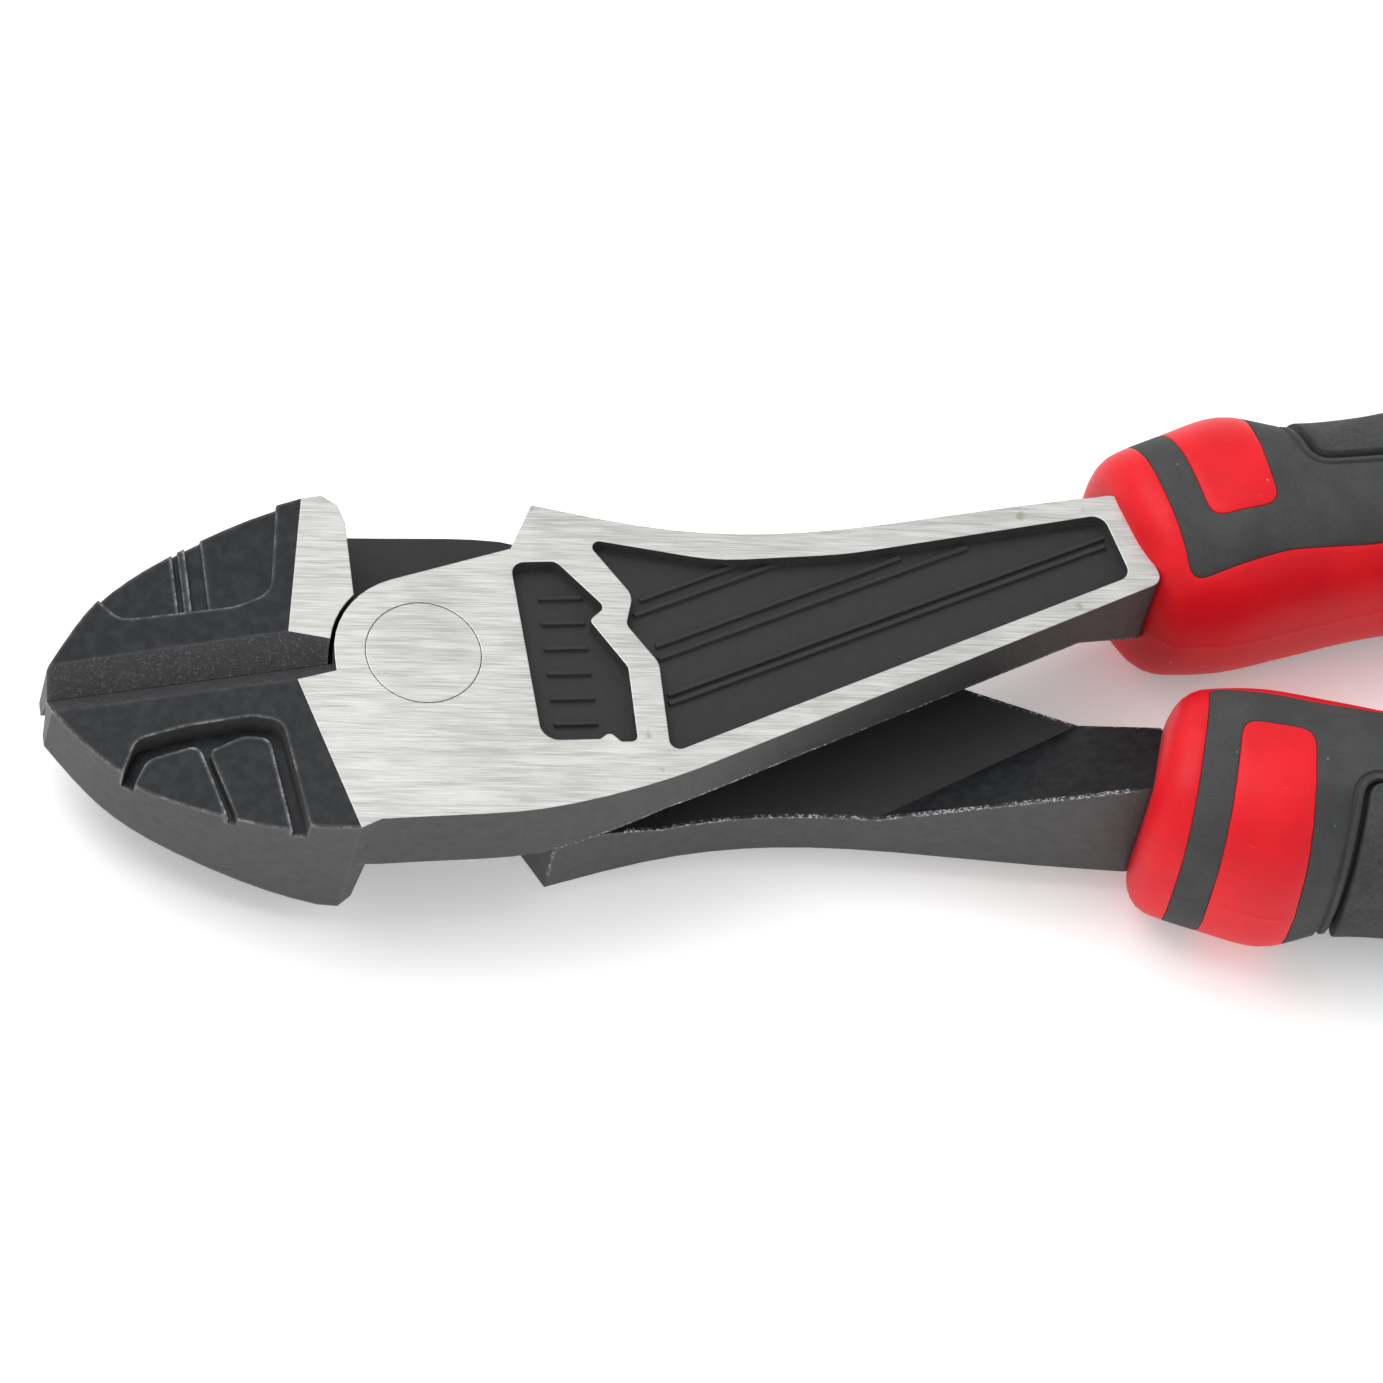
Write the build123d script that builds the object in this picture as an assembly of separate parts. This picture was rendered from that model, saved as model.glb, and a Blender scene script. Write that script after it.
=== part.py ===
from build123d import *
import math
import os

# Heavy side cutters, 180 mm long. The pivot stands on Z, the jaws point towards -X and
# the grips towards +X. The front half has the lower jaw and the upper handle. The rear
# half is the same forging turned over about X, with its own recess in the jaw.
# Everything is drawn about the mid-plane of the lap joint and lifted at the end, so that
# the lower ground face lies on Z = 0. All sizes are in mm and degrees.

# Overall
overall_length = 180.0
jaw_reach = 25.2                # pivot to jaw tip
head_thickness = 12.0

# Lap joint and pivot
head_radius = 6.1               # round shoulder about the pivot
relief_gap = 0.3                # between that shoulder and the other half's jaw
lap_gap = 0.06                  # between the two sliding faces
relief_wall = -4.3              # X of a jaw's back wall, at its far face
relief_draft = 0.8              # the back wall leans this much over the head's thickness
cheek_angle = 15.0              # slope of the straight edge that leaves the shoulder
stop_foot = 6.9                 # X where that edge meets the stop
stop_corner = (8.7, 11.6)
land_radius = 14.5              # sliding face round the pivot
land_slope_radius = 19.0        # where it has risen to the arm's underside
rivet_radius = 4.0
rivet_clearance = 0.03          # in the rear half, which turns on the rivet
rivet_edge = 0.06

# Jaws
jaw_peak = 5.7                  # -X of the widest place
jaw_width = 13.7                # half width there, on the half's own ground face
jaw_draft = 1.0                 # narrower by this on the far face
tip_width = 1.9
edge_gap = 0.02                 # each cutting edge stands this far from the centre plane
edge_land = 0.12                # height of the narrow flat along it
jaw_slope = 12.8                # fall of the jaw faces towards the tip
edge_tip_height = 0.65          # cutting edge above the mid-plane at the tip
edge_throat_height = 4.8        # and at the throat
bevel_spread = 1.05             # half width of the upper bevel for each mm of its height
under_spread = 0.27
jaw_pocket_depth = 1.7
jaw_pad_height = 0.8
jaw_recess_depth = 1.2          # grooves in the shallower recess of the rear half's jaw
jaw_recess_step = 0.4           # its floor is higher than the grooves by this

# Arms
arm_floor = 1.9                 # underside of an arm beyond the sliding face
arm_end = ((49.75, 11.55), (51.95, 4.45))       # its corners, just inside the grip
arm_end_round = 0.9
face_pocket_depth = 1.0
rib_height = 0.3
rib_width = 0.3
heel_angle = 36.0               # underside of the thick end of the arm
tang_start = ((49.75, 10.6), (51.5, 5.0))       # its corners, hidden by the collar
tang_end = 140.0
tang_width = 7.0
tang_thickness = 6.8
ridge_chamfer = 0.9             # along the outer edge of an arm's underside

# Grips
grip_waist = 75.0               # the grip's front end keeps its size up to here
shell_thickness = 1.6
pad_groove = 0.45
pad_depth = 1.0                 # the pad's seat in the over-mould
pad_proud = 0.25
pad_front = 63.5
pad_from_centre = 1.3           # inner border of the textured pad, from the centre line
pad_end = 141.0
red_from_centre = -5.2          # border of the red inner side
collar_round = 2.0

half_thickness = head_thickness / 2
grip_end = overall_length - jaw_reach
lap_face = lap_gap / 2
relief_radius = head_radius + relief_gap
reach = 400.0                   # larger than the tool, for half spaces


def plate(outline, low, high):
    """A flat solid between two heights from a closed outline on the XY plane."""
    return Pos(0, 0, low) * extrude(make_face(outline), high - low, dir=(0, 0, 1))


def rounded(corners, low, high):
    """A flat solid from corners given as (x, y, radius)."""
    points = [(x, y) for x, y, radius in corners]
    radii = [radius for x, y, radius in corners]
    return plate(FilletPolyline(*points, radius=radii, close=True), low, high)


def block(low, high):
    size = [b - a for a, b in zip(low, high)]
    return Pos(*low) * Box(*size, align=(Align.MIN, Align.MIN, Align.MIN))


def above(origin, normal, drop=0.0):
    """Half space on the side of a plane that its normal points to."""
    plane = Plane(origin=origin, z_dir=normal).offset(-drop)
    return plane * Box(reach, reach, reach, align=(Align.CENTER, Align.CENTER, Align.MIN))


def turned(shape):
    """The same shape as it lies on the other half: half a turn about X."""
    return Rot(180, 0, 0) * shape


def on_circle(radius, angle):
    return (radius * math.cos(math.radians(angle)), radius * math.sin(math.radians(angle)))


# Steel halves

def jaw_outline(height, width, tip, wall):
    """Closed outline of a jaw at one height. The shape runs from tip (0) to peak (1)."""
    shape = [(0, 0), (0.05, 0.125), (0.19, 0.42), (0.49, 0.74), (0.7, 0.885), (0.93, 0.985), (1, 1)]
    span = jaw_reach - jaw_peak
    side = [(-jaw_reach + u * span, -(tip + v * (width - tip))) for u, v in shape]
    back = [(wall - 0.4, -width + 0.8), (wall, -width + 2.2), (wall, -edge_gap)]
    start = (-jaw_reach, -edge_gap)
    outline = [Line(start, side[0]), Spline(*side), Polyline(side[-1], *back, start)]
    return Pos(0, 0, height) * make_face(outline)


def jaw_face(foot, end, drop=0.0):
    """Half space above a jaw face, which falls away from a line on the ground face."""
    run = Vector(*end) - Vector(*foot)
    fall = Vector(run.Y, -run.X).normalized()
    if fall.X > 0:
        fall = -fall
    slope = math.radians(jaw_slope)
    normal = (fall.X * math.sin(slope), fall.Y * math.sin(slope), math.cos(slope))
    return above((foot[0], foot[1], half_thickness), normal, drop)


def jaw_recess(face, pocket, pads, depth, pad_height):
    """A recess parallel to a jaw face, with lower pads left standing in it."""
    low, high = -half_thickness, half_thickness + 2
    area = rounded(pocket, low, high)
    cut = area & jaw_face(*face, drop=depth - pad_height)
    for pad in pads:
        area -= rounded(pad, low, high)
    return cut + (area & jaw_face(*face, drop=depth))


def cutting_grooves():
    """The bevels of both cutting edges: a wide groove above and a steep one below."""
    back = -head_radius
    front = -jaw_reach - 1.0
    rise = (edge_throat_height - edge_tip_height) / (jaw_reach - head_radius)
    front_height = edge_tip_height - rise * 1.0
    run = Vector(back - front, 0, rise * (back - front))
    tall = 2.5 * half_thickness
    upper = [(front, 0, front_height), (front, bevel_spread * tall, front_height + tall),
             (front, -bevel_spread * tall, front_height + tall)]
    low_height = front_height - edge_land
    lower = [(front, 0, low_height), (front, under_spread * tall, low_height - tall),
             (front, -under_spread * tall, low_height - tall)]
    grooves = []
    for corners in (upper, lower):
        face = make_face(Polyline(*corners, close=True))
        grooves.append(extrude(face, run.length, dir=tuple(run.normalized())))
    return grooves


def arm_outline():
    """Outline of the head and arm as seen on the ground face."""
    tangent = on_circle(head_radius, 90 + cheek_angle)
    foot_y = tangent[1] + (stop_foot - tangent[0]) * math.tan(math.radians(cheek_angle))
    throat = on_circle(head_radius, 190)
    outer = [stop_corner, (13.4, 10.35), (18, 9.4), (24, 8.9), (30, 9.15), (37, 10.0), (43, 10.8),
             (46.5, 11.2)]
    inner = [(18, -9.6), (12, -11.5), (6, -12.65), (0, -12.9), (-7.5, -12.9)]
    return [ThreePointArc(throat, on_circle(head_radius, 145), tangent),
            Polyline(tangent, (stop_foot, foot_y), stop_corner),
            Spline(*outer),
            FilletPolyline(outer[-1], *arm_end, inner[0], radius=arm_end_round),
            Spline(*inner, tangents=[(-0.925, -0.37), (-1, 0.1)]),
            Polyline(inner[-1], (-7.5, throat[1]), throat)]


def ground_face_pockets():
    """The two sunk panels of the ground face, with plain raised ribs on their floors."""
    floor = half_thickness - face_pocket_depth
    top = half_thickness + 1
    small = rounded([(6.75, 7.05, 0.9), (9.9, 7.05, 0.8), (12.9, 3.3, 0.5), (11.7, 2.3, 0.4),
                     (13.95, -1.5, 1.0), (13.95, -7.4, 0.45), (12.8, -7.4, 0.3), (12.1, -6.6, 0.4),
                     (11.4, -7.15, 0.4), (7.4, -7.15, 1.3)], floor, top)
    long = rounded([(12.0, 8.85, 0.5), (21, 6.85, 15), (30, 7.15, 30), (48.4, 9.95, 1.1),
                    (49.75, 4.95, 0.9), (16.1, -8.4, 0.7), (16.1, -1.2, 1.6), (14.2, 1.9, 0.8),
                    (14.9, 4.2, 1.4)], floor, top)
    ribs = []
    for x, y, length in ((15.5, 4.3, 9), (15, 3.1, 13), (16.2, 0.6, 19), (16.3, -0.4, 24),
                         (16.6, -3.3, 34), (16.6, -4.0, 34)):
        bar = Box(length, rib_width, 2 * rib_height, align=(Align.MIN, Align.CENTER, Align.CENTER))
        ribs.append(Pos(x, y, floor) * Rot(0, 0, 20.5) * bar)
    for y in (4.6, 2.6, 0.6, -1.4, -3.4, -5.4):
        ribs.append(Pos(10.0, y, floor) * Box(3.0, rib_width, 2 * rib_height))
    return (small + long) - ribs


front_face = ((-8.8, -2.0), (-5.7, -13.6))      # where each jaw face leaves the ground face
rear_face = ((-9.1, 1.8), (-7.1, 12.6))


def front_jaw_recess():
    pocket = [(-20.9, -7.2, 0.5), (-19.8, -4.8, 1.2), (-16.5, -4.3, 3), (-12, -4.2, 2), (-10.1, -4.9, 1.2),
              (-8.7, -15.5, 0.5), (-13, -15.5, 0.5), (-21.6, -10.5, 0.5)]
    pads = [[(-20.1, -7.6, 1.0), (-19.1, -5.9, 1.4), (-15.6, -5.3, 0.8), (-12.7, -17, 0.5), (-21, -17, 0.5)],
            [(-15.0, -5.9, 0.5), (-12.6, -5.1, 1.6), (-10.9, -5.5, 1.0), (-9.5, -17, 0.5), (-12.1, -17, 0.5)]]
    return jaw_recess(front_face, pocket, pads, jaw_pocket_depth, jaw_pad_height)


def rear_jaw_recess():
    pocket = [(-21.4, 6.6, 0.4), (-20.0, 4.7, 1.6), (-12.5, 4.5, 3), (-9.9, 5.2, 1.6), (-8.3, 15.5, 0.5),
              (-24, 15.5, 0.5)]
    floors = [[(-24, 17), (-24, 3), (-16.0, 3), (-16.0, 17)],
              [(-15.6, 17), (-15.6, 3), (-15.1, 3), (-15.1, 17)],
              [(-14.0, 17), (-14.0, 3), (-7, 3), (-7, 17)]]
    pads = [[(x, y, 0.2) for x, y in corners] for corners in floors]
    return jaw_recess(rear_face, pocket, pads, jaw_recess_depth, jaw_recess_step)


def steel_half(bore, recess):
    """One forging as the front half lies. The recess is cut from the jaw."""
    ground, far = half_thickness, -half_thickness
    jaw = loft([jaw_outline(far, jaw_width - jaw_draft, tip_width - 0.4, relief_wall),
                jaw_outline(ground, jaw_width, tip_width, relief_wall + relief_draft)], ruled=True)
    jaw -= Pos(0, 0, far - 1) * Cylinder(relief_radius, half_thickness + 1 + lap_face,
                                         align=(Align.CENTER, Align.CENTER, Align.MIN))

    arm = plate(arm_outline(), lap_face, ground)
    profile = Polyline((land_radius, 0, -1), (land_radius, 0, lap_face),
                       (land_slope_radius, 0, arm_floor), (90, 0, arm_floor), (90, 0, -1), close=True)
    arm -= revolve(make_face(profile), Axis.Z, 360) & block((2, -90, -2), (90, 90, half_thickness))

    heel_line = Vector(13, -6.1).normalized()
    heel_out = (-heel_line.Y, heel_line.X)
    tilt = math.radians(heel_angle)
    heel_normal = (heel_out[0] * math.sin(tilt), heel_out[1] * math.sin(tilt), math.cos(tilt))
    heel = plate(arm_outline(), far, ground - 1) & block((30, -90, far + ridge_chamfer), (90, 90, ground))
    arm += heel & above((34, 8, arm_floor), heel_normal)

    half = jaw + arm
    half -= jaw_face(*front_face)
    half -= turned(jaw_face(*rear_face))
    half -= recess
    half -= ground_face_pockets()

    centre = [(x, grip_centre(x)) for x in (grip_waist, 90, 105, 120, tang_end)]
    side = tang_width / 2
    outer = [tang_start[0], (53, 11.0), (60, 12.6)] + [(x, y + side) for x, y in centre]
    inner = [(x, y - side) for x, y in reversed(centre)] + [(60, 6.0), tang_start[1]]
    tang = [Spline(*outer), Line(outer[-1], inner[0]), Spline(*inner), Line(inner[-1], outer[0])]
    half += plate(tang, -tang_thickness / 2, tang_thickness / 2)
    return half - Cylinder(bore, head_thickness + 1)


# Grips

def grip_stations():
    """Places along the upper grip: X, centre line, half width and half thickness."""
    rest = grip_end - grip_waist
    return [(46.5, 9.6, 4.8, 6.4), (50, 9.8, 6.6, 7.8), (53.5, 10.3, 7.5, 8.4), (57.5, 11.0, 8.15, 8.7),
            (62.5, 11.1, 7.15, 8.3), (67, 11.8, 6.8, 8.0), (grip_waist, 13.3, 7.1, 8.1),
            (grip_waist + 0.15 * rest, 15.1, 7.7, 8.3), (grip_waist + 0.35 * rest, 16.4, 8.1, 8.4),
            (grip_waist + 0.55 * rest, 16.4, 8.1, 8.3), (grip_waist + 0.75 * rest, 15.3, 7.6, 8.0),
            (grip_waist + 0.9 * rest, 14.2, 7.0, 7.5), (grip_waist + 0.97 * rest, 13.8, 6.0, 6.5),
            (grip_end, 13.7, 3.9, 4.3)]


def grip_centre(x):
    stations = grip_stations()
    for (x0, y0, *_), (x1, y1, *_) in zip(stations, stations[1:]):
        if x0 <= x <= x1:
            return y0 + (y1 - y0) * (x - x0) / (x1 - x0)
    return stations[-1][1]


def grip_form(inset):
    """The outer form of the upper grip, or the same form a given depth below its skin."""
    squareness = 2.5
    sections = []
    for x, centre, width, thickness in grip_stations():
        points = []
        for step in range(20):
            angle = 2 * math.pi * step / 20
            y = math.copysign(abs(math.cos(angle)) ** (2 / squareness), math.cos(angle))
            z = math.copysign(abs(math.sin(angle)) ** (2 / squareness), math.sin(angle))
            points.append((min(x, grip_end - inset), centre + (width - inset) * y, (thickness - inset) * z))
        sections.append(make_face(Spline(*points, periodic=True)))
    return loft(sections)


def dark_region():
    """Plan of the dark over-mould: everything outside the collar and the red inner side."""
    border = [(61, 6.15), (67, 6.9)]
    border += [(x, grip_centre(x) + red_from_centre) for x in (grip_waist, 90, 105, 120, 135, 148)]
    border.append((grip_end + 3, border[-1][1] - 0.4))
    far_corner = (grip_end + 3, 40)
    front = (45.1, 40)
    return [FilletPolyline(front, (53.95, 4.2), border[0], radius=1.6), Spline(*border),
            Polyline(border[-1], far_corner, front)]


def pad_region(gap):
    """Plan of the textured pad on the outer side, drawn in by a gap all round."""
    border = [(x, grip_centre(x) + pad_from_centre + gap) for x in (pad_front + 5, 80, 100, 120, pad_end)]
    border.insert(0, (pad_front + gap, 12.95 + gap))
    tail = (pad_end + 1.5 - gap, 40)
    nose = (pad_front - 6.5 + gap, 40)
    return [Spline(*border), Polyline(border[-1], tail, nose, border[0])]


def grip_pieces(half):
    """Red core, dark over-mould and textured pad of the upper grip."""
    outer = grip_form(0)
    front = above((51.5, 4.6, 0), (-1, -0.32, 0))
    outer -= front
    nose = outer.faces().sort_by(Axis.X)[0]
    outer = fillet(nose.edges(), collar_round)
    low, high = -20, 20
    window = rounded([(55.45, 8.1, 0.9), (60.4, 9.2, 0.9), (56.0, 40, 0.5), (48.0, 40, 0.5)], low, high)
    skin = (outer - grip_form(shell_thickness) - half) & (plate(dark_region(), low, high) - window)
    core = outer - skin - half
    seat = grip_form(pad_depth)
    shell = skin - (plate(pad_region(0), low, high) - seat)
    pad = (grip_form(-pad_proud) - seat) & plate(pad_region(pad_groove), low, high)
    return core, shell, pad


# Assembly

front_steel = steel_half(rivet_radius, front_jaw_recess())
rear_steel = turned(steel_half(rivet_radius + rivet_clearance, turned(rear_jaw_recess())))
for groove in cutting_grooves():
    front_steel -= groove
    rear_steel -= groove

rivet = Cylinder(rivet_radius, head_thickness)
rivet = chamfer(rivet.edges().filter_by(GeomType.CIRCLE), rivet_edge)

core, shell, pad = grip_pieces(front_steel)
nodes = {
    "front_half": front_steel,
    "rear_half": rear_steel,
    "pivot_rivet": rivet,
    "front_grip_core": core,
    "front_grip_shell": shell,
    "front_grip_pad": pad,
    "rear_grip_core": turned(core),
    "rear_grip_shell": turned(shell),
    "rear_grip_pad": turned(pad),
}

os.makedirs("parts", exist_ok=True)
for name, shape in nodes.items():
    export_step(Pos(0, 0, half_thickness) * shape, f"parts/{name}.step")
    print(name, len(shape.solids()), round(shape.volume, 1))
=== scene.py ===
import math
import bmesh
import bpy
import numpy as np
from mathutils import Matrix, Vector, noise
from mathutils.geometry import delaunay_2d_cdt


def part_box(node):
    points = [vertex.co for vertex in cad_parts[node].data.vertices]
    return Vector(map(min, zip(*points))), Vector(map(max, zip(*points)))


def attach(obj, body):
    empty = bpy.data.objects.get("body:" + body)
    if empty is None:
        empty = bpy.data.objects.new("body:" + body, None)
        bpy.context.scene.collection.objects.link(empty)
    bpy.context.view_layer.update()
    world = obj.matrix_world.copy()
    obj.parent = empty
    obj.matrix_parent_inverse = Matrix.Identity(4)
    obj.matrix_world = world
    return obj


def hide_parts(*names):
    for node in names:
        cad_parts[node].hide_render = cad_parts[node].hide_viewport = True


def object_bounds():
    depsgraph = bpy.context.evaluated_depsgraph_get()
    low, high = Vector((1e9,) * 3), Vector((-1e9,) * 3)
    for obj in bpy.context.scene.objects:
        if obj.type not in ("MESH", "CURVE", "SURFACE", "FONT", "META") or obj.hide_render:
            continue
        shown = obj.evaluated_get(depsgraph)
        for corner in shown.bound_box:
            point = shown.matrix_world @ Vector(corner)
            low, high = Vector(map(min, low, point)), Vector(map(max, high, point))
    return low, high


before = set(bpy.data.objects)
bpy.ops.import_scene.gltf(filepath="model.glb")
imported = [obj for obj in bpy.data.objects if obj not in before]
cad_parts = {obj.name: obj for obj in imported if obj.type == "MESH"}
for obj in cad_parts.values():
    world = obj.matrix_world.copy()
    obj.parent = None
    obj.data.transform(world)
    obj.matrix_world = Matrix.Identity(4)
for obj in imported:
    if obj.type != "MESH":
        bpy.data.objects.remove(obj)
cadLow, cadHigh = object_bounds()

mm = 0.001
rivetLow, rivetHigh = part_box("pivot_rivet")
midPlane = (rivetLow.z + rivetHigh.z) / 2  # height of the lap joint
pivot = Vector((0, 0, midPlane))

view = {
    "azimuth": -19.95,
    "elevation": 57.1,
    "roll": 15.7,
    "lens": 399,
    "distance": 1.0477,
    "aimAlong": 0.0194,  # the aim lies this far from the pivot, towards the grips
    "aimAside": 0.0001,
}


def addCamera(cfg):
    azimuth, elevation, roll = (math.radians(cfg[key]) for key in ("azimuth", "elevation", "roll"))
    toCamera = Vector((math.sin(azimuth) * math.cos(elevation), -math.cos(azimuth) * math.cos(elevation),
                       math.sin(elevation)))
    right = Vector((math.cos(azimuth), math.sin(azimuth), 0))
    up = toCamera.cross(right)
    tiltedRight = math.cos(roll) * right + math.sin(roll) * up
    tiltedUp = toCamera.cross(tiltedRight)
    aim = pivot + Vector((cfg["aimAlong"], cfg["aimAside"], 0))
    camera = bpy.data.objects.new("camera", bpy.data.cameras.new("camera"))
    camera.data.lens = cfg["lens"]
    camera.data.clip_end = 20
    axes = Matrix((tiltedRight, tiltedUp, toCamera)).transposed().to_4x4()
    camera.matrix_world = Matrix.Translation(aim + cfg["distance"] * toCamera) @ axes
    bpy.context.scene.collection.objects.link(camera)
    bpy.context.scene.camera = camera


addCamera(view)
print("camera set")


class Wire:
    # a shader socket that takes part in ordinary arithmetic
    def __init__(self, surface, socket):
        self.surface = surface
        self.socket = socket

    def maths(self, operation, *values):
        return self.surface.node("Math", {"operation": operation}, dict(enumerate(values)))

    def __add__(self, other):
        return self.maths("ADD", self, other)

    __radd__ = __add__

    def __sub__(self, other):
        return self.maths("SUBTRACT", self, other)

    def __rsub__(self, other):
        return self.maths("SUBTRACT", other, self)

    def __mul__(self, other):
        return self.maths("MULTIPLY", self, other)

    __rmul__ = __mul__

    def __abs__(self):
        return self.maths("ABSOLUTE", self)

    def between(self, low, high):
        # 0 below low, 1 above high, smooth between them
        settings = {"interpolation_type": "SMOOTHSTEP"}
        return self.surface.node("MapRange", settings, {"Value": self, "From Min": low, "From Max": high})


class Surface:
    # one material, its nodes made by one method
    def __init__(self, name):
        self.material = bpy.data.materials.new(name)
        self.material.use_nodes = True
        self.tree = self.material.node_tree
        self.shader = self.tree.nodes["Principled BSDF"]
        self.place = self.node("TexCoord", output="Object")
        self.away = self.node("TexCoord", output="Normal")

    def plug(self, socket, value):
        if isinstance(value, Wire):
            self.tree.links.new(value.socket, socket)
        elif isinstance(value, tuple) and len(socket.default_value) == 4:
            socket.default_value = (*value, 1)
        else:
            socket.default_value = value

    def node(self, kind, settings={}, inputs={}, output=0):
        made = self.tree.nodes.new("ShaderNode" + kind)
        for key, value in settings.items():
            setattr(made, key, value)
        for key, value in inputs.items():
            self.plug(made.inputs[key], value)
        return Wire(self, made.outputs[output])

    def mix(self, factor, one, other):
        # colour between one and other
        return self.node("Mix", {"data_type": "RGBA"}, {0: factor, 6: one, 7: other}, output=2)

    def axis(self, vector, name):
        return self.node("SeparateXYZ", inputs={0: vector}, output=name)

    def stretched(self, scale, turn=0.0):
        # object coordinates in metres, turned about Z, then scaled along each axis
        inputs = {"Vector": self.place, "Angle": turn}
        turned = self.node("VectorRotate", {"rotation_type": "Z_AXIS"}, inputs)
        return self.node("VectorMath", {"operation": "MULTIPLY"}, {0: turned, 1: scale})

    def noise(self, size, detail=2.0, roughness=0.5, turn=0.0, stretch=(1, 1, 1)):
        # noise with features of one size in metres, 0 to 1
        scale = Vector(tuple(1 / (size * times) for times in stretch))
        inputs = {"Vector": self.stretched(scale, turn), "Scale": 1.0, "Detail": detail,
                  "Roughness": roughness}
        return self.node("TexNoise", {"noise_dimensions": "3D"}, inputs)

    def specks(self, size, reach):
        # small round spots, 1 at their middle
        inputs = {"Vector": self.place, "Scale": 1 / size, "Randomness": 1.0}
        return 1 - self.node("TexVoronoi", inputs=inputs, output="Distance").between(reach * 0.5, reach)

    def bump(self, height, distance, strength=1.0, normal=None):
        inputs = {"Height": height, "Distance": distance, "Strength": strength}
        if normal:
            inputs["Normal"] = normal
        return self.node("Bump", inputs=inputs)

    def finish(self, **inputs):
        for name, value in inputs.items():
            self.plug(self.shader.inputs[name.replace("_", " ")], value)
        return self.material


steelLook = {
    "groundDepth": 0.03 * mm,  # a ground face lies within this of the top or the bottom
    "brushTurn": math.radians(3),
    "streakWidth": 0.085 * mm,
    "streakLength": 36,
    "ground": (0.63, 0.63, 0.615),
    "groundDark": (0.38, 0.38, 0.365),
    "stain": (0.30, 0.26, 0.17),
    "black": (0.005, 0.0065, 0.008),
    # painted light: lighter tones of the black for level faces and for walls, for how light falls on them
    "blackPaintedLevelLight": (0.028, 0.028, 0.029),
    "blackPaintedWallLight": (0.062, 0.063, 0.063),
    "peel": (0.034, 0.035, 0.037),
    # bare metal rubbed at edges, partly a painted edge highlight
    "wearAndGleam": (0.30, 0.30, 0.31),
    "bevel": (0.085, 0.085, 0.088),
    "bevelGrain": (0.20, 0.20, 0.205),
    "edgeRound": 0.10 * mm,
    "ribLow": 4.7 * mm,  # heights from the mid-plane that hold the panels' ribs
    "ribHigh": 5.5 * mm,
    "glintPaint": (0.62, 0.62, 0.64),
    # painted glints on the arm's forged ridge
    "scratched": (0.30, 0.30, 0.29),
    "gleam": 0.24,
    "jawEnd": -3 * mm,  # X where the jaws give way to the head
    "bevelEnd": -4 * mm,
    "armStart": 7 * mm,
    "edgeReach": 0.30 * mm,  # an edge is rubbed bare, and given a painted highlight, this far in
    "reliefDepth": 0.05 * mm,
}


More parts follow.
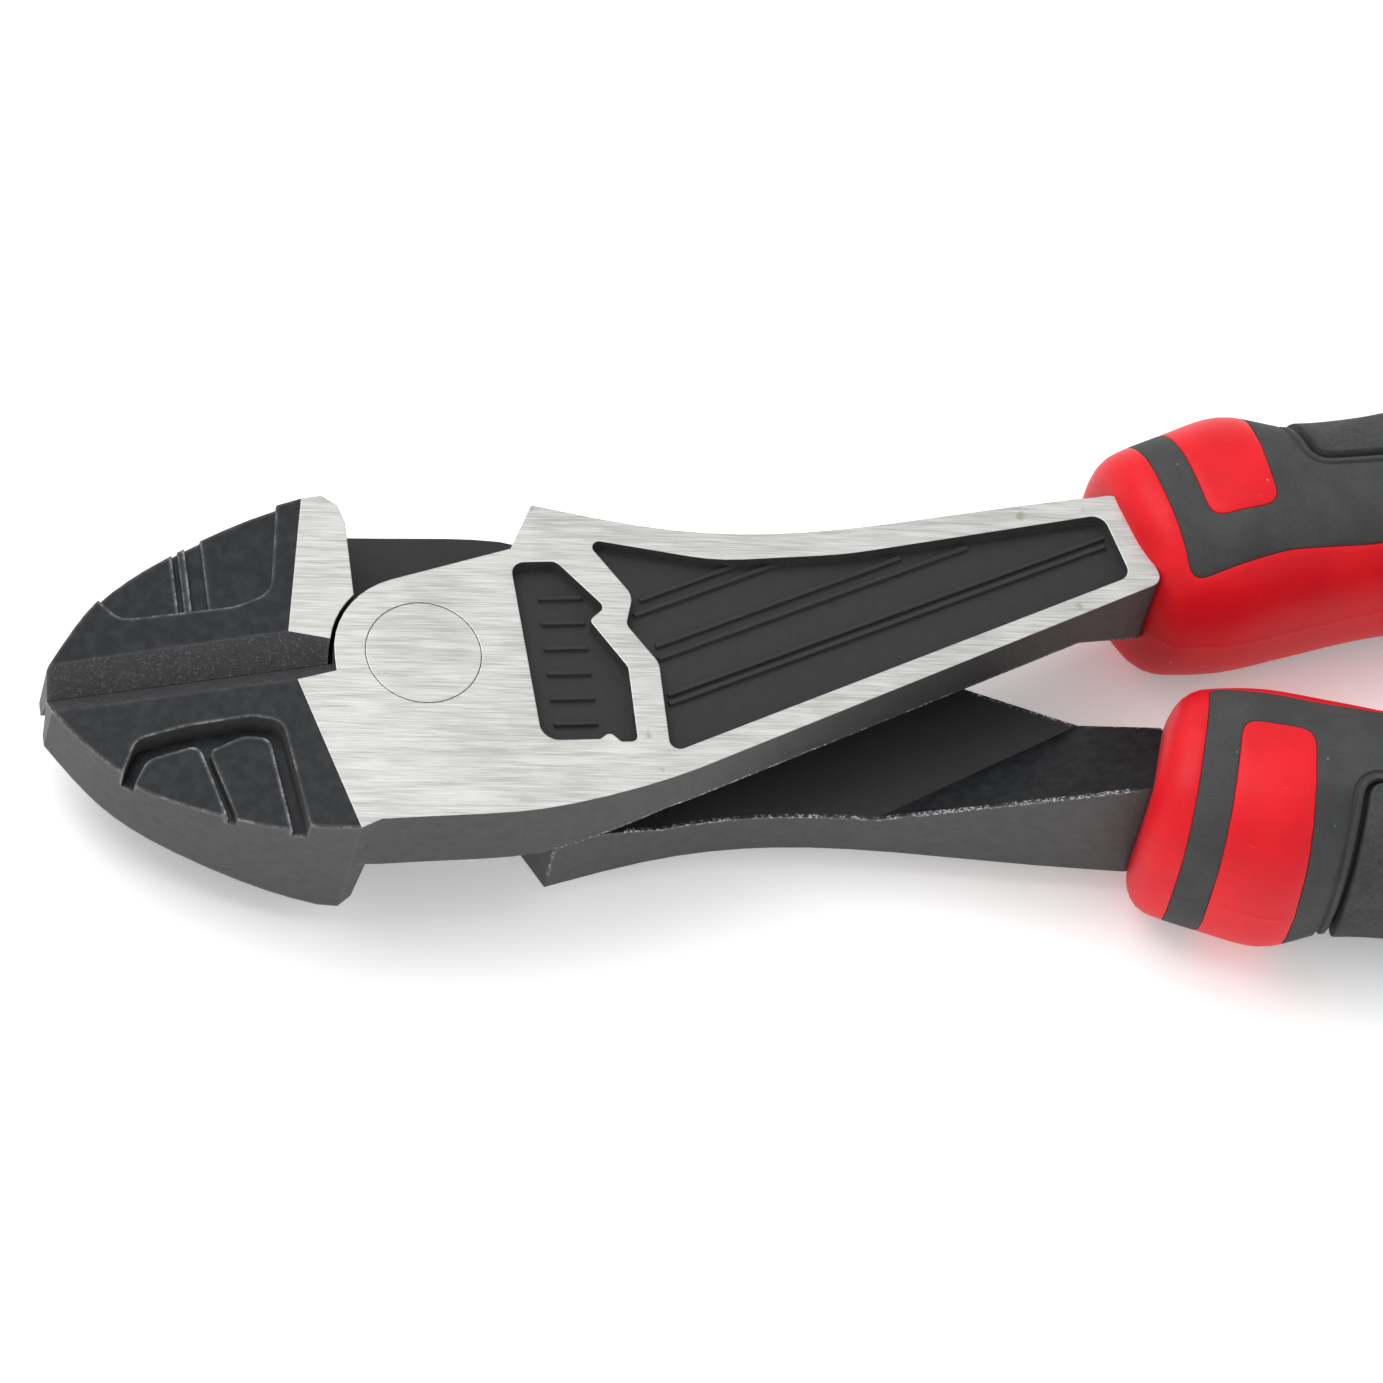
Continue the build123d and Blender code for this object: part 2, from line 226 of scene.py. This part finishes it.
def steelSurface(name, cfg, lightness=1.0):
    # black forging with brushed ground faces at the top and the bottom
    steel = Surface(name)
    height = steel.axis(steel.place, "Z")
    top, bottom = rivetHigh.z, rivetLow.z
    upper = height.between(top - 2 * cfg["groundDepth"], top - cfg["groundDepth"])
    lower = 1 - height.between(bottom + cfg["groundDepth"], bottom + 2 * cfg["groundDepth"])
    upright = abs(steel.axis(steel.away, "Z"))
    level = upright.between(0.985, 0.998)
    ground = (upper + lower).between(0, 1) * level

    streakShape = (cfg["streakLength"], 1, 1)
    fine = steel.noise(cfg["streakWidth"], 3, 0.6, cfg["brushTurn"], streakShape)
    broad = steel.noise(5 * cfg["streakWidth"], 2, 0.5, cfg["brushTurn"], (14, 1, 1))
    cloud = steel.noise(7 * mm, 3, 0.55)
    tone = (0.70 * fine + 0.35 * broad + 0.30 * cloud).between(0.44, 0.86)
    groundColor = steel.mix(tone, cfg["groundDark"], tuple(lightness * part for part in cfg["ground"]))
    spot = steel.noise(1.5 * mm, 2, 0.5).between(0.64, 0.76)
    spot = spot * steel.noise(9 * mm, 1).between(0.46, 0.60)
    groundColor = steel.mix(0.60 * spot, groundColor, cfg["stain"])
    scratch = steel.noise(0.09 * mm, 0, 0.5, math.radians(-62), (60, 1, 1)).between(0.80, 0.86)
    groundColor = steel.mix(0.18 * scratch, groundColor, cfg["scratched"])

    # scale left by the forge: fine pits, a coarser orange peel and bare flecks
    pits = steel.noise(0.16 * mm, 3, 0.65)
    peel = steel.noise(0.9 * mm, 2, 0.5)
    grain = steel.noise(0.30 * mm, 1, 0.5)
    # painted light: the black is set lighter on level faces and lightest on walls than on slopes, by their
    # facing
    blackColor = steel.mix(level, cfg["black"], cfg["blackPaintedLevelLight"])
    blackColor = steel.mix(upright.between(0.15, 0.45), cfg["blackPaintedWallLight"], blackColor)
    blackColor = steel.mix(0.35 * peel.between(0.35, 0.75), blackColor, cfg["peel"])
    outer = 1 - steel.node("AmbientOcclusion", {"samples": 8, "inside": True, "only_local": True},
                           {"Distance": cfg["edgeReach"]}, output="AO")
    # edge: convex edges, lightened as real rubbed wear and as a painted edge highlight
    edge = outer.between(0.08, 0.48) * (0.40 + 0.60 * grain.between(0.30, 0.60))
    along = steel.axis(steel.place, "X")
    rise = abs(height - midPlane)
    onArm = along.between(cfg["armStart"], cfg["armStart"] + 2 * mm)
    inPanel = onArm * rise.between(cfg["ribLow"] - 0.1 * mm, cfg["ribLow"]) \
        * (1 - rise.between(cfg["ribHigh"], cfg["ribHigh"] + 0.1 * mm))
    edge = edge * (1 - 0.80 * inPanel)
    # painted glints along the arm's forged ridge
    ridge = onArm * (1 - rise.between(4.4 * mm, 4.6 * mm)) * outer.between(0.03, 0.25)
    ridgeGlintPaint = ridge * steel.noise(0.20 * mm, 3, 0.7).between(0.48, 0.62) * peel.between(0.36, 0.52)
    sloping = upright.between(0.35, 0.45) * (1 - upright.between(0.78, 0.86))
    cutting = sloping * (1 - along.between(cfg["bevelEnd"] - 2 * mm, cfg["bevelEnd"]))
    fleck = pits.between(0.70, 0.76) * peel.between(0.42, 0.60)
    onJaw = 1 - along.between(cfg["jawEnd"] - 2 * mm, cfg["jawEnd"])
    # stronger rubbed wear and painted edge highlight on the jaws
    jawRubAndGleam = onJaw * peel.between(0.40, 0.62)
    # painted highlight along the jaws' shallow convex edges
    creaseHighlight = onJaw * outer.between(0.02, 0.12)
    # real wear, bare flecks and painted edge highlights lighten the black
    wearAndGleam = ((0.18 + 0.26 * jawRubAndGleam) * edge + 0.14 * creaseHighlight + 0.30 * fleck).between(0, 1)
    blackColor = steel.mix(wearAndGleam, blackColor, cfg["wearAndGleam"])
    granular = steel.noise(0.20 * mm, 3, 0.75)
    glitter = cutting * granular.between(0.52, 0.72)
    blackColor = steel.mix(0.50 * cutting, blackColor, cfg["bevel"])
    blackColor = steel.mix(0.55 * glitter, blackColor, cfg["bevelGrain"])
    # painted glints on the ridge
    blackColor = steel.mix(0.85 * ridgeGlintPaint, blackColor, cfg["glintPaint"])

    color = steel.mix(ground, blackColor, groundColor)
    blackRough = 0.50 + 0.25 * (pits - 0.5) - 0.12 * wearAndGleam + 0.14 * level
    groundRough = 0.34 + 0.22 * (fine - 0.5)
    rough = ground * groundRough + (1 - ground) * blackRough
    metal = ground * 0.82 + (1 - ground) * (0.15 + 0.6 * wearAndGleam)
    forged = 0.55 * pits + 0.8 * peel + 1.6 * cutting * granular
    relief = ground * (0.10 * fine) + (1 - ground) * forged
    rounded = steel.node("Bevel", {"samples": 6}, {"Radius": cfg["edgeRound"]})
    normal = steel.bump(relief, cfg["reliefDepth"], 0.8, rounded)
    return steel.finish(Base_Color=color, Roughness=rough, Metallic=metal, Normal=normal,
                        Specular_IOR_Level=cfg["gleam"])


redLook = {
    "red": (0.72, 0.009, 0.017),
    "deepRed": (0.62, 0.006, 0.014),
    "dust": (0.9, 0.55, 0.5),
    "scratched": (0.9, 0.35, 0.33),
    "rough": 0.46,
    "gleam": 0.20,
}


def redSurface(name, cfg):
    # semi-matt moulded plastic with a faint grain and a few pale dust marks
    red = Surface(name)
    cloud = red.noise(5 * mm, 3, 0.5)
    grain = red.noise(0.12 * mm, 2, 0.6)
    dust = red.specks(2.3 * mm, 0.045) * red.noise(6 * mm, 1).between(0.45, 0.6)
    scratch = red.noise(0.07 * mm, 0, 0.5, math.radians(25), (70, 1, 1)).between(0.83, 0.88)
    color = red.mix(cloud.between(0.3, 0.75), cfg["deepRed"], cfg["red"])
    color = red.mix(0.5 * dust, color, cfg["dust"])
    color = red.mix(0.22 * scratch, color, cfg["scratched"])
    rough = cfg["rough"] + 0.12 * (cloud - 0.5) + 0.10 * (grain - 0.5)
    normal = red.bump(grain, 0.02 * mm, 0.5)
    return red.finish(Base_Color=color, Roughness=rough, Normal=normal, Specular_IOR_Level=cfg["gleam"])


darkLook = {
    "dark": (0.040, 0.041, 0.042),
    "pale": (0.060, 0.061, 0.062),
    "dust": (0.33, 0.33, 0.33),
    "scuffed": (0.25, 0.25, 0.25),
    "rough": 0.72,
    "gleam": 0.22,
    "grainSize": 0.14 * mm,
    "grainDepth": 0.03 * mm,
}
padLook = dict(darkLook, dark=(0.036, 0.037, 0.038), pale=(0.062, 0.063, 0.064), rough=0.80,
               grainSize=0.32 * mm, grainDepth=0.10 * mm)


def rubberSurface(name, cfg):
    # matt soft over-mould: a fine grain, rubbed patches and light specks
    rubber = Surface(name)
    cloud = rubber.noise(4 * mm, 3, 0.55)
    grain = rubber.noise(cfg["grainSize"], 2, 0.6)
    specks = rubber.specks(1.5 * mm, 0.07) * rubber.noise(5 * mm, 1).between(0.42, 0.55)
    scuff = rubber.noise(0.08 * mm, 1, 0.5, math.radians(12), (45, 1, 1)).between(0.78, 0.86)
    color = rubber.mix((0.6 * cloud + 0.4 * grain).between(0.35, 0.68), cfg["dark"], cfg["pale"])
    color = rubber.mix(0.5 * specks, color, cfg["dust"])
    color = rubber.mix(0.14 * scuff, color, cfg["scuffed"])
    rough = cfg["rough"] + 0.10 * (cloud - 0.5)
    normal = rubber.bump(grain, cfg["grainDepth"], 0.8)
    return rubber.finish(Base_Color=color, Roughness=rough, Normal=normal, Specular_IOR_Level=cfg["gleam"])


finishes = {
    "half": steelSurface("forgedSteel", steelLook),
    "rivet": steelSurface("rivetSteel", steelLook, 0.97),
    "core": redSurface("redPlastic", redLook),
    "shell": rubberSurface("darkRubber", darkLook),
    "pad": rubberSurface("padRubber", padLook),
}
for name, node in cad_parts.items():
    for index in range(len(node.data.materials)):
        node.data.materials[index] = finishes[name.split("_")[-1]]
print("finishes made")

# The grip is drawn as one skin about the upper handle, in millimetres from the mid-plane.
# A place on it has a distance along the grip from its front rim and an angle about it:
# 0 on the outer side, a quarter turn on top, half a turn on the inner side.

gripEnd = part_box("front_grip_core")[1].x / mm
grip = {
    "rim": 51.5,  # X of the front face where it crosses the slant's foot
    "slant": 0.32,  # lean of the front face
    "slantFoot": 4.6,
    "slantFade": 14.0,
    "collarRound": 2.0,
    "squareness": 2.5,
    "domeLength": 8.0,
    "domePath": 12.0,
    "domePower": 3.0,
    "skinDepth": 1.25,  # thickness of the moulded skins
    "lipRound": 0.10,  # rounded border of every skin
    "spacing": 0.62,
    "arc": 8.0,  # millimetres of skin for one radian
    # X, centre, half width and half thickness of the sections
    "sections": ((46.5, 9.6, 4.8, 6.4), (50, 9.8, 6.6, 7.8), (53.5, 10.3, 7.5, 8.4),
                 (57.5, 11.0, 8.15, 8.7), (62.5, 11.1, 7.15, 8.3), (67, 11.8, 6.8, 8.0),
                 (75, 13.3, 7.1, 8.1), (87, 15.1, 7.7, 8.3), (103, 16.4, 8.1, 8.4),
                 (119, 16.4, 8.1, 8.3), (135, 15.3, 7.6, 8.0), (146.8, 14.2, 7.0, 7.5),
                 (154.8, 13.7, 6.7, 7.2)),
    "tubeSides": 40,
    "seamWidth": 0.11,  # half width of the parting line's ridge
}
domeStart = gripEnd - grip["domeLength"]
bend = grip["collarRound"] * math.pi / 2
tip = domeStart - grip["rim"] - grip["collarRound"] + bend + 0.998 * grip["domePath"]
halfTurn = math.pi * grip["arc"]
sections = np.array(grip["sections"]).T


def smoothstep(part):
    part = np.clip(part, 0, 1)
    return part * part * (3 - 2 * part)


def sectionAt(x):
    # centre, half width and half thickness of the grip, smoothly between the sections
    knots = sections[0]
    index = np.clip(np.searchsorted(knots, x) - 1, 0, len(knots) - 2)
    gap = knots[index + 1] - knots[index]
    part = np.clip((x - knots[index]) / gap, 0, 1)
    result = []
    for values in sections[1:]:
        slopes = np.gradient(values, knots)
        leaving = values[index] * (1 + 2 * part) * (1 - part) ** 2
        leavingSlope = slopes[index] * gap * part * (1 - part) ** 2
        arriving = values[index + 1] * part ** 2 * (3 - 2 * part)
        arrivingSlope = slopes[index + 1] * gap * part ** 2 * (part - 1)
        result.append(leaving + leavingSlope + arriving + arrivingSlope)
    return result


def signedPower(value, power):
    return np.sign(value) * np.abs(value) ** power


def slantOf(plane):
    return grip["slant"] * (1 - smoothstep((plane - grip["rim"] - 2) / grip["slantFade"]))


def onSkin(along, angle, depth):
    # point of the skin, or below it, for arrays of places
    along, angle, depth = (np.asarray(part, float) for part in (along, angle, depth))
    turn = np.clip(along / grip["collarRound"], 0, math.pi / 2)
    plane = grip["rim"] + grip["collarRound"] * (1 - np.cos(turn)) + np.maximum(along - bend, 0)
    plane = plane + depth * np.cos(turn)
    inset = grip["collarRound"] * (1 - np.sin(turn)) + np.maximum(-along, 0) + depth * np.sin(turn)
    swing = np.clip((plane - domeStart) / grip["domePath"], 0, 1) * math.pi / 2
    power = 2 / grip["domePower"]
    inDome = plane > domeStart
    plane = np.where(inDome, domeStart + (grip["domeLength"] - depth) * np.sin(swing) ** power, plane)
    shrink = np.where(inDome, np.abs(np.cos(swing)) ** power, 1)
    across = signedPower(np.cos(angle), 2 / grip["squareness"])
    rise = signedPower(np.sin(angle), 2 / grip["squareness"])
    x = plane
    for step in range(5):
        centre, width, thickness = sectionAt(x)
        y = centre + np.maximum(width - inset, 0.1) * shrink * across
        x = plane - slantOf(plane) * (y - grip["slantFoot"])
    z = np.maximum(thickness - inset, 0.1) * shrink * rise
    return np.stack((x, y, z), axis=-1)


def fromPlan(x, y):
    # place on the upper skin that lies over a point of the plan, as (along, angle)
    plane = x
    for step in range(30):
        plane = x + slantOf(plane) * (y - grip["slantFoot"])
    centre, width, thickness = sectionAt(x)
    level = np.clip((y - centre) / width, -1, 1)
    angle = np.arccos(signedPower(level, grip["squareness"] / 2))
    return np.stack((plane - grip["rim"] - grip["collarRound"] + bend, angle), axis=-1)


def planLine(start, end, step=0.35):
    # the skin's places over a straight line of the plan, in millimetres of skin
    count = max(2, int(math.dist(start, end) / step))
    points = np.linspace(start, end, count)
    centre, width, thickness = sectionAt(points[:, 0])
    points = points[points[:, 1] - centre < width * 0.9985]
    return fromPlan(points[:, 0], points[:, 1]) * (1, grip["arc"])


def joined(stretches, radii):
    # one path from stretches that meet at corners, each corner rounded
    path = []
    for index, stretch in enumerate(stretches):
        stretch = np.asarray(stretch, float)
        before = radii[index - 1] if index else 0
        after = radii[index] if index < len(radii) else 0
        start, end = stretch[0], stretch[-1]
        keep = np.linalg.norm(stretch - start, axis=1) >= before
        keep &= np.linalg.norm(stretch - end, axis=1) >= after
        kept = stretch[keep]
        if index:
            corner = start
            leave, enter = path[-1], kept[0]
            for part in (0.2, 0.4, 0.6, 0.8):
                path.append((1 - part) ** 2 * leave + 2 * part * (1 - part) * corner + part ** 2 * enter)
        path += list(kept)
    return np.array(path)


def mirroredLoop(upper):
    # closed outline from its half on the top, which starts and ends on the mid-plane
    lower = upper[::-1] * (1, -1)
    return np.concatenate((upper, lower[1:-1]))


def toMidPlane(path, first=True, last=True):
    # carries the ends of a path straight on to the mid-plane
    parts = [path]
    if first:
        parts.insert(0, [(path[0][0], 0)])
    if last:
        parts.append([(path[-1][0], 0)])
    return np.concatenate(parts)


def offsetLoop(loop, distance):
    # the loop moved to its left by a distance
    direction = np.roll(loop, -1, axis=0) - np.roll(loop, 1, axis=0)
    direction /= np.maximum(np.linalg.norm(direction, axis=1, keepdims=True), 1e-9)
    return loop + distance * np.stack((-direction[:, 1], direction[:, 0]), axis=-1)


def area(loop):
    following = np.roll(loop, -1, axis=0)
    return 0.5 * np.sum(loop[:, 0] * following[:, 1] - loop[:, 1] * following[:, 0])


def leftward(loop):
    return loop if area(loop) > 0 else loop[::-1]


def onSeam(points):
    # true where a place lies on the line where the skin meets itself, half a turn away
    return np.abs(points[..., 1]) > halfTurn - 1e-4


def distanceTo(loop, points):
    # distance of points from a closed loop, apart from its stretches along the seam
    starts, ends = loop, np.roll(loop, -1, axis=0)
    free = ~(onSeam(starts) & onSeam(ends))
    starts, ends = starts[free], ends[free]
    run = ends - starts
    lengths = np.maximum(np.sum(run * run, axis=1), 1e-12)
    best = np.full(len(points), 1e9)
    for first in range(0, len(points), 2000):
        some = points[first:first + 2000, None, :]
        part = np.clip(np.sum((some - starts) * run, axis=2) / lengths, 0, 1)
        gaps = np.linalg.norm(some - starts - part[..., None] * run, axis=2)
        best[first:first + 2000] = gaps.min(axis=1)
    return best


def inside(loop, points):
    # even-odd test
    starts, ends = loop, np.roll(loop, -1, axis=0)
    result = np.zeros(len(points), bool)
    for (startX, startY), (endX, endY) in zip(starts, ends):
        if startY == endY:
            continue
        crosses = (startY > points[:, 1]) != (endY > points[:, 1])
        where = startX + (points[:, 1] - startY) / (endY - startY) * (endX - startX)
        result ^= crosses & (points[:, 0] < where)
    return result


def skinPiece(outline, holes, ridges, depthOf, centre, thickness):
    # closed moulded skin: a triangulated outline, its top shaped by depthOf, wrapped on the grip.
    # outline and holes are loops, ridges are more loops whose offsets follow a change of depth.
    outline = leftward(outline)
    holes = [leftward(hole) for hole in holes]
    lip = grip["lipRound"]
    loops = [outline] + holes
    rings = [offsetLoop(outline, part * lip) for part in (0.35, 1)]
    rings += [offsetLoop(hole, -part * lip) for hole in holes for part in (0.35, 1)]
    rings += ridges
    spacing = grip["spacing"]
    low, high = outline.min(axis=0), outline.max(axis=0)
    columns = np.arange(low[0] + spacing / 2, high[0], spacing)
    rows = np.arange(spacing, high[1] + spacing, spacing)
    rows = np.concatenate((-rows[::-1], (-0.2, -0.1, 0, 0.1, 0.2), rows))
    lattice = np.stack(np.meshgrid(columns, rows), axis=-1).reshape(-1, 2)
    lattice = lattice[inside(outline, lattice)]
    for hole in holes:
        lattice = lattice[~inside(hole, lattice)]
    for loop in loops + rings:
        lattice = lattice[distanceTo(loop, lattice) > 0.30 * spacing]
    points, edges = [], []
    for loop in loops + rings:
        first = len(points)
        points += [Vector(tuple(point)) for point in loop]
        edges += [(first + index, first + (index + 1) % len(loop)) for index in range(len(loop))]
    points += [Vector(tuple(point)) for point in lattice]
    flat, allEdges, triangles = delaunay_2d_cdt(points, edges, [], 0, 1e-5)[:3]
    flat = np.array([tuple(point) for point in flat])
    triangles = np.array([tuple(face) for face in triangles])
    middles = flat[triangles].mean(axis=1)
    keep = inside(outline, middles)
    for hole in holes:
        keep &= ~inside(hole, middles)
    triangles = triangles[keep]

    border = np.min([distanceTo(loop, flat) for loop in loops], axis=0)
    rounding = lip - np.sqrt(np.maximum(lip ** 2 - (lip - np.minimum(border, lip)) ** 2, 0))
    top = onSkin(flat[:, 0], flat[:, 1] / grip["arc"] + centre, depthOf(flat) + rounding)
    base = onSkin(flat[:, 0], flat[:, 1] / grip["arc"] + centre, np.full(len(flat), thickness))
    count = len(flat)
    faces = [tuple(face) for face in triangles] + [tuple(face[::-1] + count) for face in triangles]
    directed = {(face[index], face[(index + 1) % 3]) for face in triangles for index in range(3)}
    faces += [(start, start + count, end + count, end) for start, end in directed
              if (end, start) not in directed and not onSeam(flat[[start, end]]).all()]
    return np.concatenate((top, base)), faces


def tubePiece(depth):
    # closed inner body under the skins
    sides = grip["tubeSides"]
    alongs = np.concatenate((np.linspace(-3.0, bend, 8), np.linspace(bend + 1.5, tip, 60)))
    angles = np.arange(sides) * 2 * math.pi / sides
    mesh = onSkin(*np.meshgrid(alongs, angles, indexing="ij"), np.full((len(alongs), sides), depth))
    faces = []
    for row in range(0, (len(alongs) - 1) * sides, sides):
        for column in range(sides):
            following = (column + 1) % sides
            faces.append((row + column, row + following, row + sides + following, row + sides + column))
    count = len(alongs) * sides
    faces += [tuple(range(sides)), tuple(range(count - 1, count - sides - 1, -1))]
    return mesh.reshape(-1, 3), faces


farAside = 40  # past the grip's outer side, where a border line runs off it

# borders of the moulded skins, as points of the plan
skins = {
    "darkFront": (45.1, farAside),
    "darkCorner": (53.95, 4.2),
    "darkCornerRound": 1.7,
    "darkKnee": (61, 6.15),
    "darkWaist": (67, 6.9),
    "redFromCentre": -5.2,
    "redFoot": -3.0,  # the red skin reaches this far in over the front face
    "windowCorners": ((48.0, farAside), (55.45, 8.1), (60.4, 9.2), (56.0, farAside)),
    "windowRound": 1.0,
    "padNose": (57.0, farAside),
    "padCorner": (63.5, 12.95),
    "padKnee": (68.5, 13.35),
    "padFromCentre": 1.3,
    "padEnd": 141.0,
    "padRound": 0.9,
    "padGap": 0.28,
    "padSeat": 1.0,
    "padProud": 0.25,
    # across the seat's border: distance from it, and the depth there after the first
    "seatSteps": (0, 0.06, 0.16, 0.38, 0.50, 0.62, 0.74),
    "seatDepths": (0.12, 0.0, 0.0, 0.20, 0.20, 0.0),
}


def borderLine(fromCentre, start, end):
    # plan line at a distance from the grip's centre line
    xs = np.arange(start, end, 1.0)
    centre, width, thickness = sectionAt(xs)
    return fromPlan(xs, centre + fromCentre) * (1, grip["arc"])


def darkBorder(cfg):
    # upper border of the dark skin from the mid-plane at the front to the tip
    front = planLine(cfg["darkFront"], cfg["darkCorner"])
    knee = planLine(cfg["darkCorner"], cfg["darkKnee"])
    waist = np.concatenate((planLine(cfg["darkKnee"], cfg["darkWaist"]),
                            borderLine(cfg["redFromCentre"], 75.0, domeStart)))
    tail = np.linspace(waist[-1], (tip, waist[-1][1]), 16)[1:]
    path = joined((front, knee, np.concatenate((waist, tail))), (cfg["darkCornerRound"], 0.5))
    return toMidPlane(path, last=False)


def windowLoop(cfg):
    corners = cfg["windowCorners"]
    stretches = [planLine(start, end) for start, end in zip(corners, corners[1:])]
    path = joined(stretches, (cfg["windowRound"], cfg["windowRound"]))
    return mirroredLoop(toMidPlane(path))


def padLoop(cfg):
    nose = planLine(cfg["padNose"], cfg["padCorner"])
    side = np.concatenate((planLine(cfg["padCorner"], cfg["padKnee"]),
                           borderLine(cfg["padFromCentre"], 76.0, cfg["padEnd"])))
    centre, width, thickness = sectionAt(np.array([cfg["padEnd"]]))
    end = (cfg["padEnd"], float(centre[0]) + cfg["padFromCentre"])
    tail = planLine(end, (cfg["padEnd"] + 1.5, farAside))
    path = joined((nose, side, tail), (cfg["padRound"], cfg["padRound"]))
    return mirroredLoop(toMidPlane(path))


def padSeatDepth(distance, cfg):
    # depth across the border of the pad's seat: wall, lip, then a fine groove
    return np.interp(distance, cfg["seatSteps"], (cfg["padSeat"], *cfg["seatDepths"]))


def partingRidge(across, height):
    # depth over the parting line, less than 0 where it stands up and more where it is sunk
    return -height * np.clip(1 - np.abs(across) / grip["seamWidth"], 0, 1)


def handWobble(loop, amount=0.035):
    # a moulded border is never quite a clean line
    lifts = [noise.noise(Vector((point[0] * 0.9, point[1] * 0.9, 3.7))) * amount for point in loop]
    return offsetLoop(loop, np.array(lifts)[:, None])


def gripMeshes(cfg):
    # vertices and faces of the core, the shell and the pad of the upper grip
    border = darkBorder(cfg)
    window = leftward(handWobble(windowLoop(cfg)))
    seat = leftward(padLoop(cfg))
    dark = np.concatenate((border, [(tip, 0)]))
    darkOutline = mirroredLoop(dark)
    seam = np.linspace((cfg["redFoot"], 0), border[0], 22)[:-1]
    inner = np.concatenate((seam, border)) - (0, halfTurn)
    foot = np.linspace((cfg["redFoot"], halfTurn), (cfg["redFoot"], -halfTurn), 80)[1:-1]
    redOutline = np.concatenate((inner, inner[::-1] * (1, -1), foot))

    def shellDepth(flat):
        gap = np.where(inside(seat, flat), 0, distanceTo(seat, flat))
        return padSeatDepth(gap, cfg) + partingRidge(flat[:, 1], -0.05) * (gap > 0.8)

    def redDepth(flat):
        return partingRidge(flat[:, 1], 0.05)

    def padDepth(flat):
        return partingRidge(flat[:, 1], -0.05) - cfg["padProud"]

    thickness = grip["skinDepth"]
    ridges = [offsetLoop(seat, -gap) for gap in cfg["seatSteps"]]
    shell = skinPiece(darkOutline, [window], ridges, shellDepth, 0, thickness)
    pad = skinPiece(offsetLoop(seat, cfg["padGap"]), [], [], padDepth, 0, thickness)
    coreParts = [skinPiece(redOutline, [], [], redDepth, math.pi, thickness),
                 skinPiece(window, [], [], redDepth, 0, thickness), tubePiece(thickness - 0.05)]
    points, faces = [], []
    for partPoints, partFaces in coreParts:
        faces += [tuple(corner + sum(map(len, points)) for corner in face) for face in partFaces]
        points.append(partPoints)
    return {"core": (np.concatenate(points), faces), "shell": shell, "pad": pad}


def addPiece(name, points, faces, body, node, finish):
    mesh = bpy.data.meshes.new(name)
    mesh.from_pydata([tuple(point) for point in points], [], faces)
    shape = bmesh.new()
    shape.from_mesh(mesh)
    bmesh.ops.remove_doubles(shape, verts=shape.verts, dist=1e-6)
    bmesh.ops.recalc_face_normals(shape, faces=shape.faces)
    shape.to_mesh(mesh)
    shape.free()
    mesh.shade_smooth()
    mesh.set_sharp_from_angle(angle=math.radians(50))
    mesh.materials.append(finish)
    piece = bpy.data.objects.new(name, mesh)
    bpy.context.scene.collection.objects.link(piece)
    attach(piece, body)
    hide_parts(node)


made = gripMeshes(skins)
for side, turn in (("front", 1), ("rear", -1)):
    for part, (points, faces) in made.items():
        placed = (points * (1, turn, turn) + (0, 0, midPlane / mm)) * mm
        addPiece(f"{side}_{part}_moulding", placed, faces, f"{side}_handle", f"{side}_grip_{part}",
                 finishes[part])
print("grips made")

studio = {
    "floorSize": 3.0,
    "floorColor": (0.93, 0.93, 0.93),
    "floorGlow": 0.22,
    "world": 0.84,
    "keyPower": 7,
    "keySize": 0.8,
    "keyPlace": (-0.35, 0.30, 0.95),
}


def addStudio(cfg):
    size, low = cfg["floorSize"], cadLow.z
    mesh = bpy.data.meshes.new("floor")
    corners = [(-size, -size, low), (size, -size, low), (size, size, low), (-size, size, low)]
    mesh.from_pydata(corners, [], [(0, 1, 2, 3)])
    floor = bpy.data.objects.new("floor", mesh)
    paper = bpy.data.materials.new("paper")
    paper.use_nodes = True
    shader = paper.node_tree.nodes["Principled BSDF"]
    shader.inputs["Base Color"].default_value = (*cfg["floorColor"], 1)
    shader.inputs["Roughness"].default_value = 0.9
    shader.inputs["Emission Color"].default_value = (1, 1, 1, 1)
    shader.inputs["Emission Strength"].default_value = cfg["floorGlow"]
    mesh.materials.append(paper)
    bpy.context.scene.collection.objects.link(floor)
    world = bpy.data.worlds.new("softWhite")
    world.use_nodes = True
    world.node_tree.nodes["Background"].inputs["Color"].default_value = (1, 1, 1, 1)
    world.node_tree.nodes["Background"].inputs["Strength"].default_value = cfg["world"]
    bpy.context.scene.world = world
    bpy.context.scene.view_settings.view_transform = "Standard"
    light = bpy.data.lights.new("key", "AREA")
    light.energy = cfg["keyPower"]
    light.size = cfg["keySize"]
    key = bpy.data.objects.new("key", light)
    key.location = cfg["keyPlace"]
    key.rotation_euler = (pivot - key.location).to_track_quat("-Z", "Y").to_euler()
    bpy.context.scene.collection.objects.link(key)


addStudio(studio)
print("studio set")
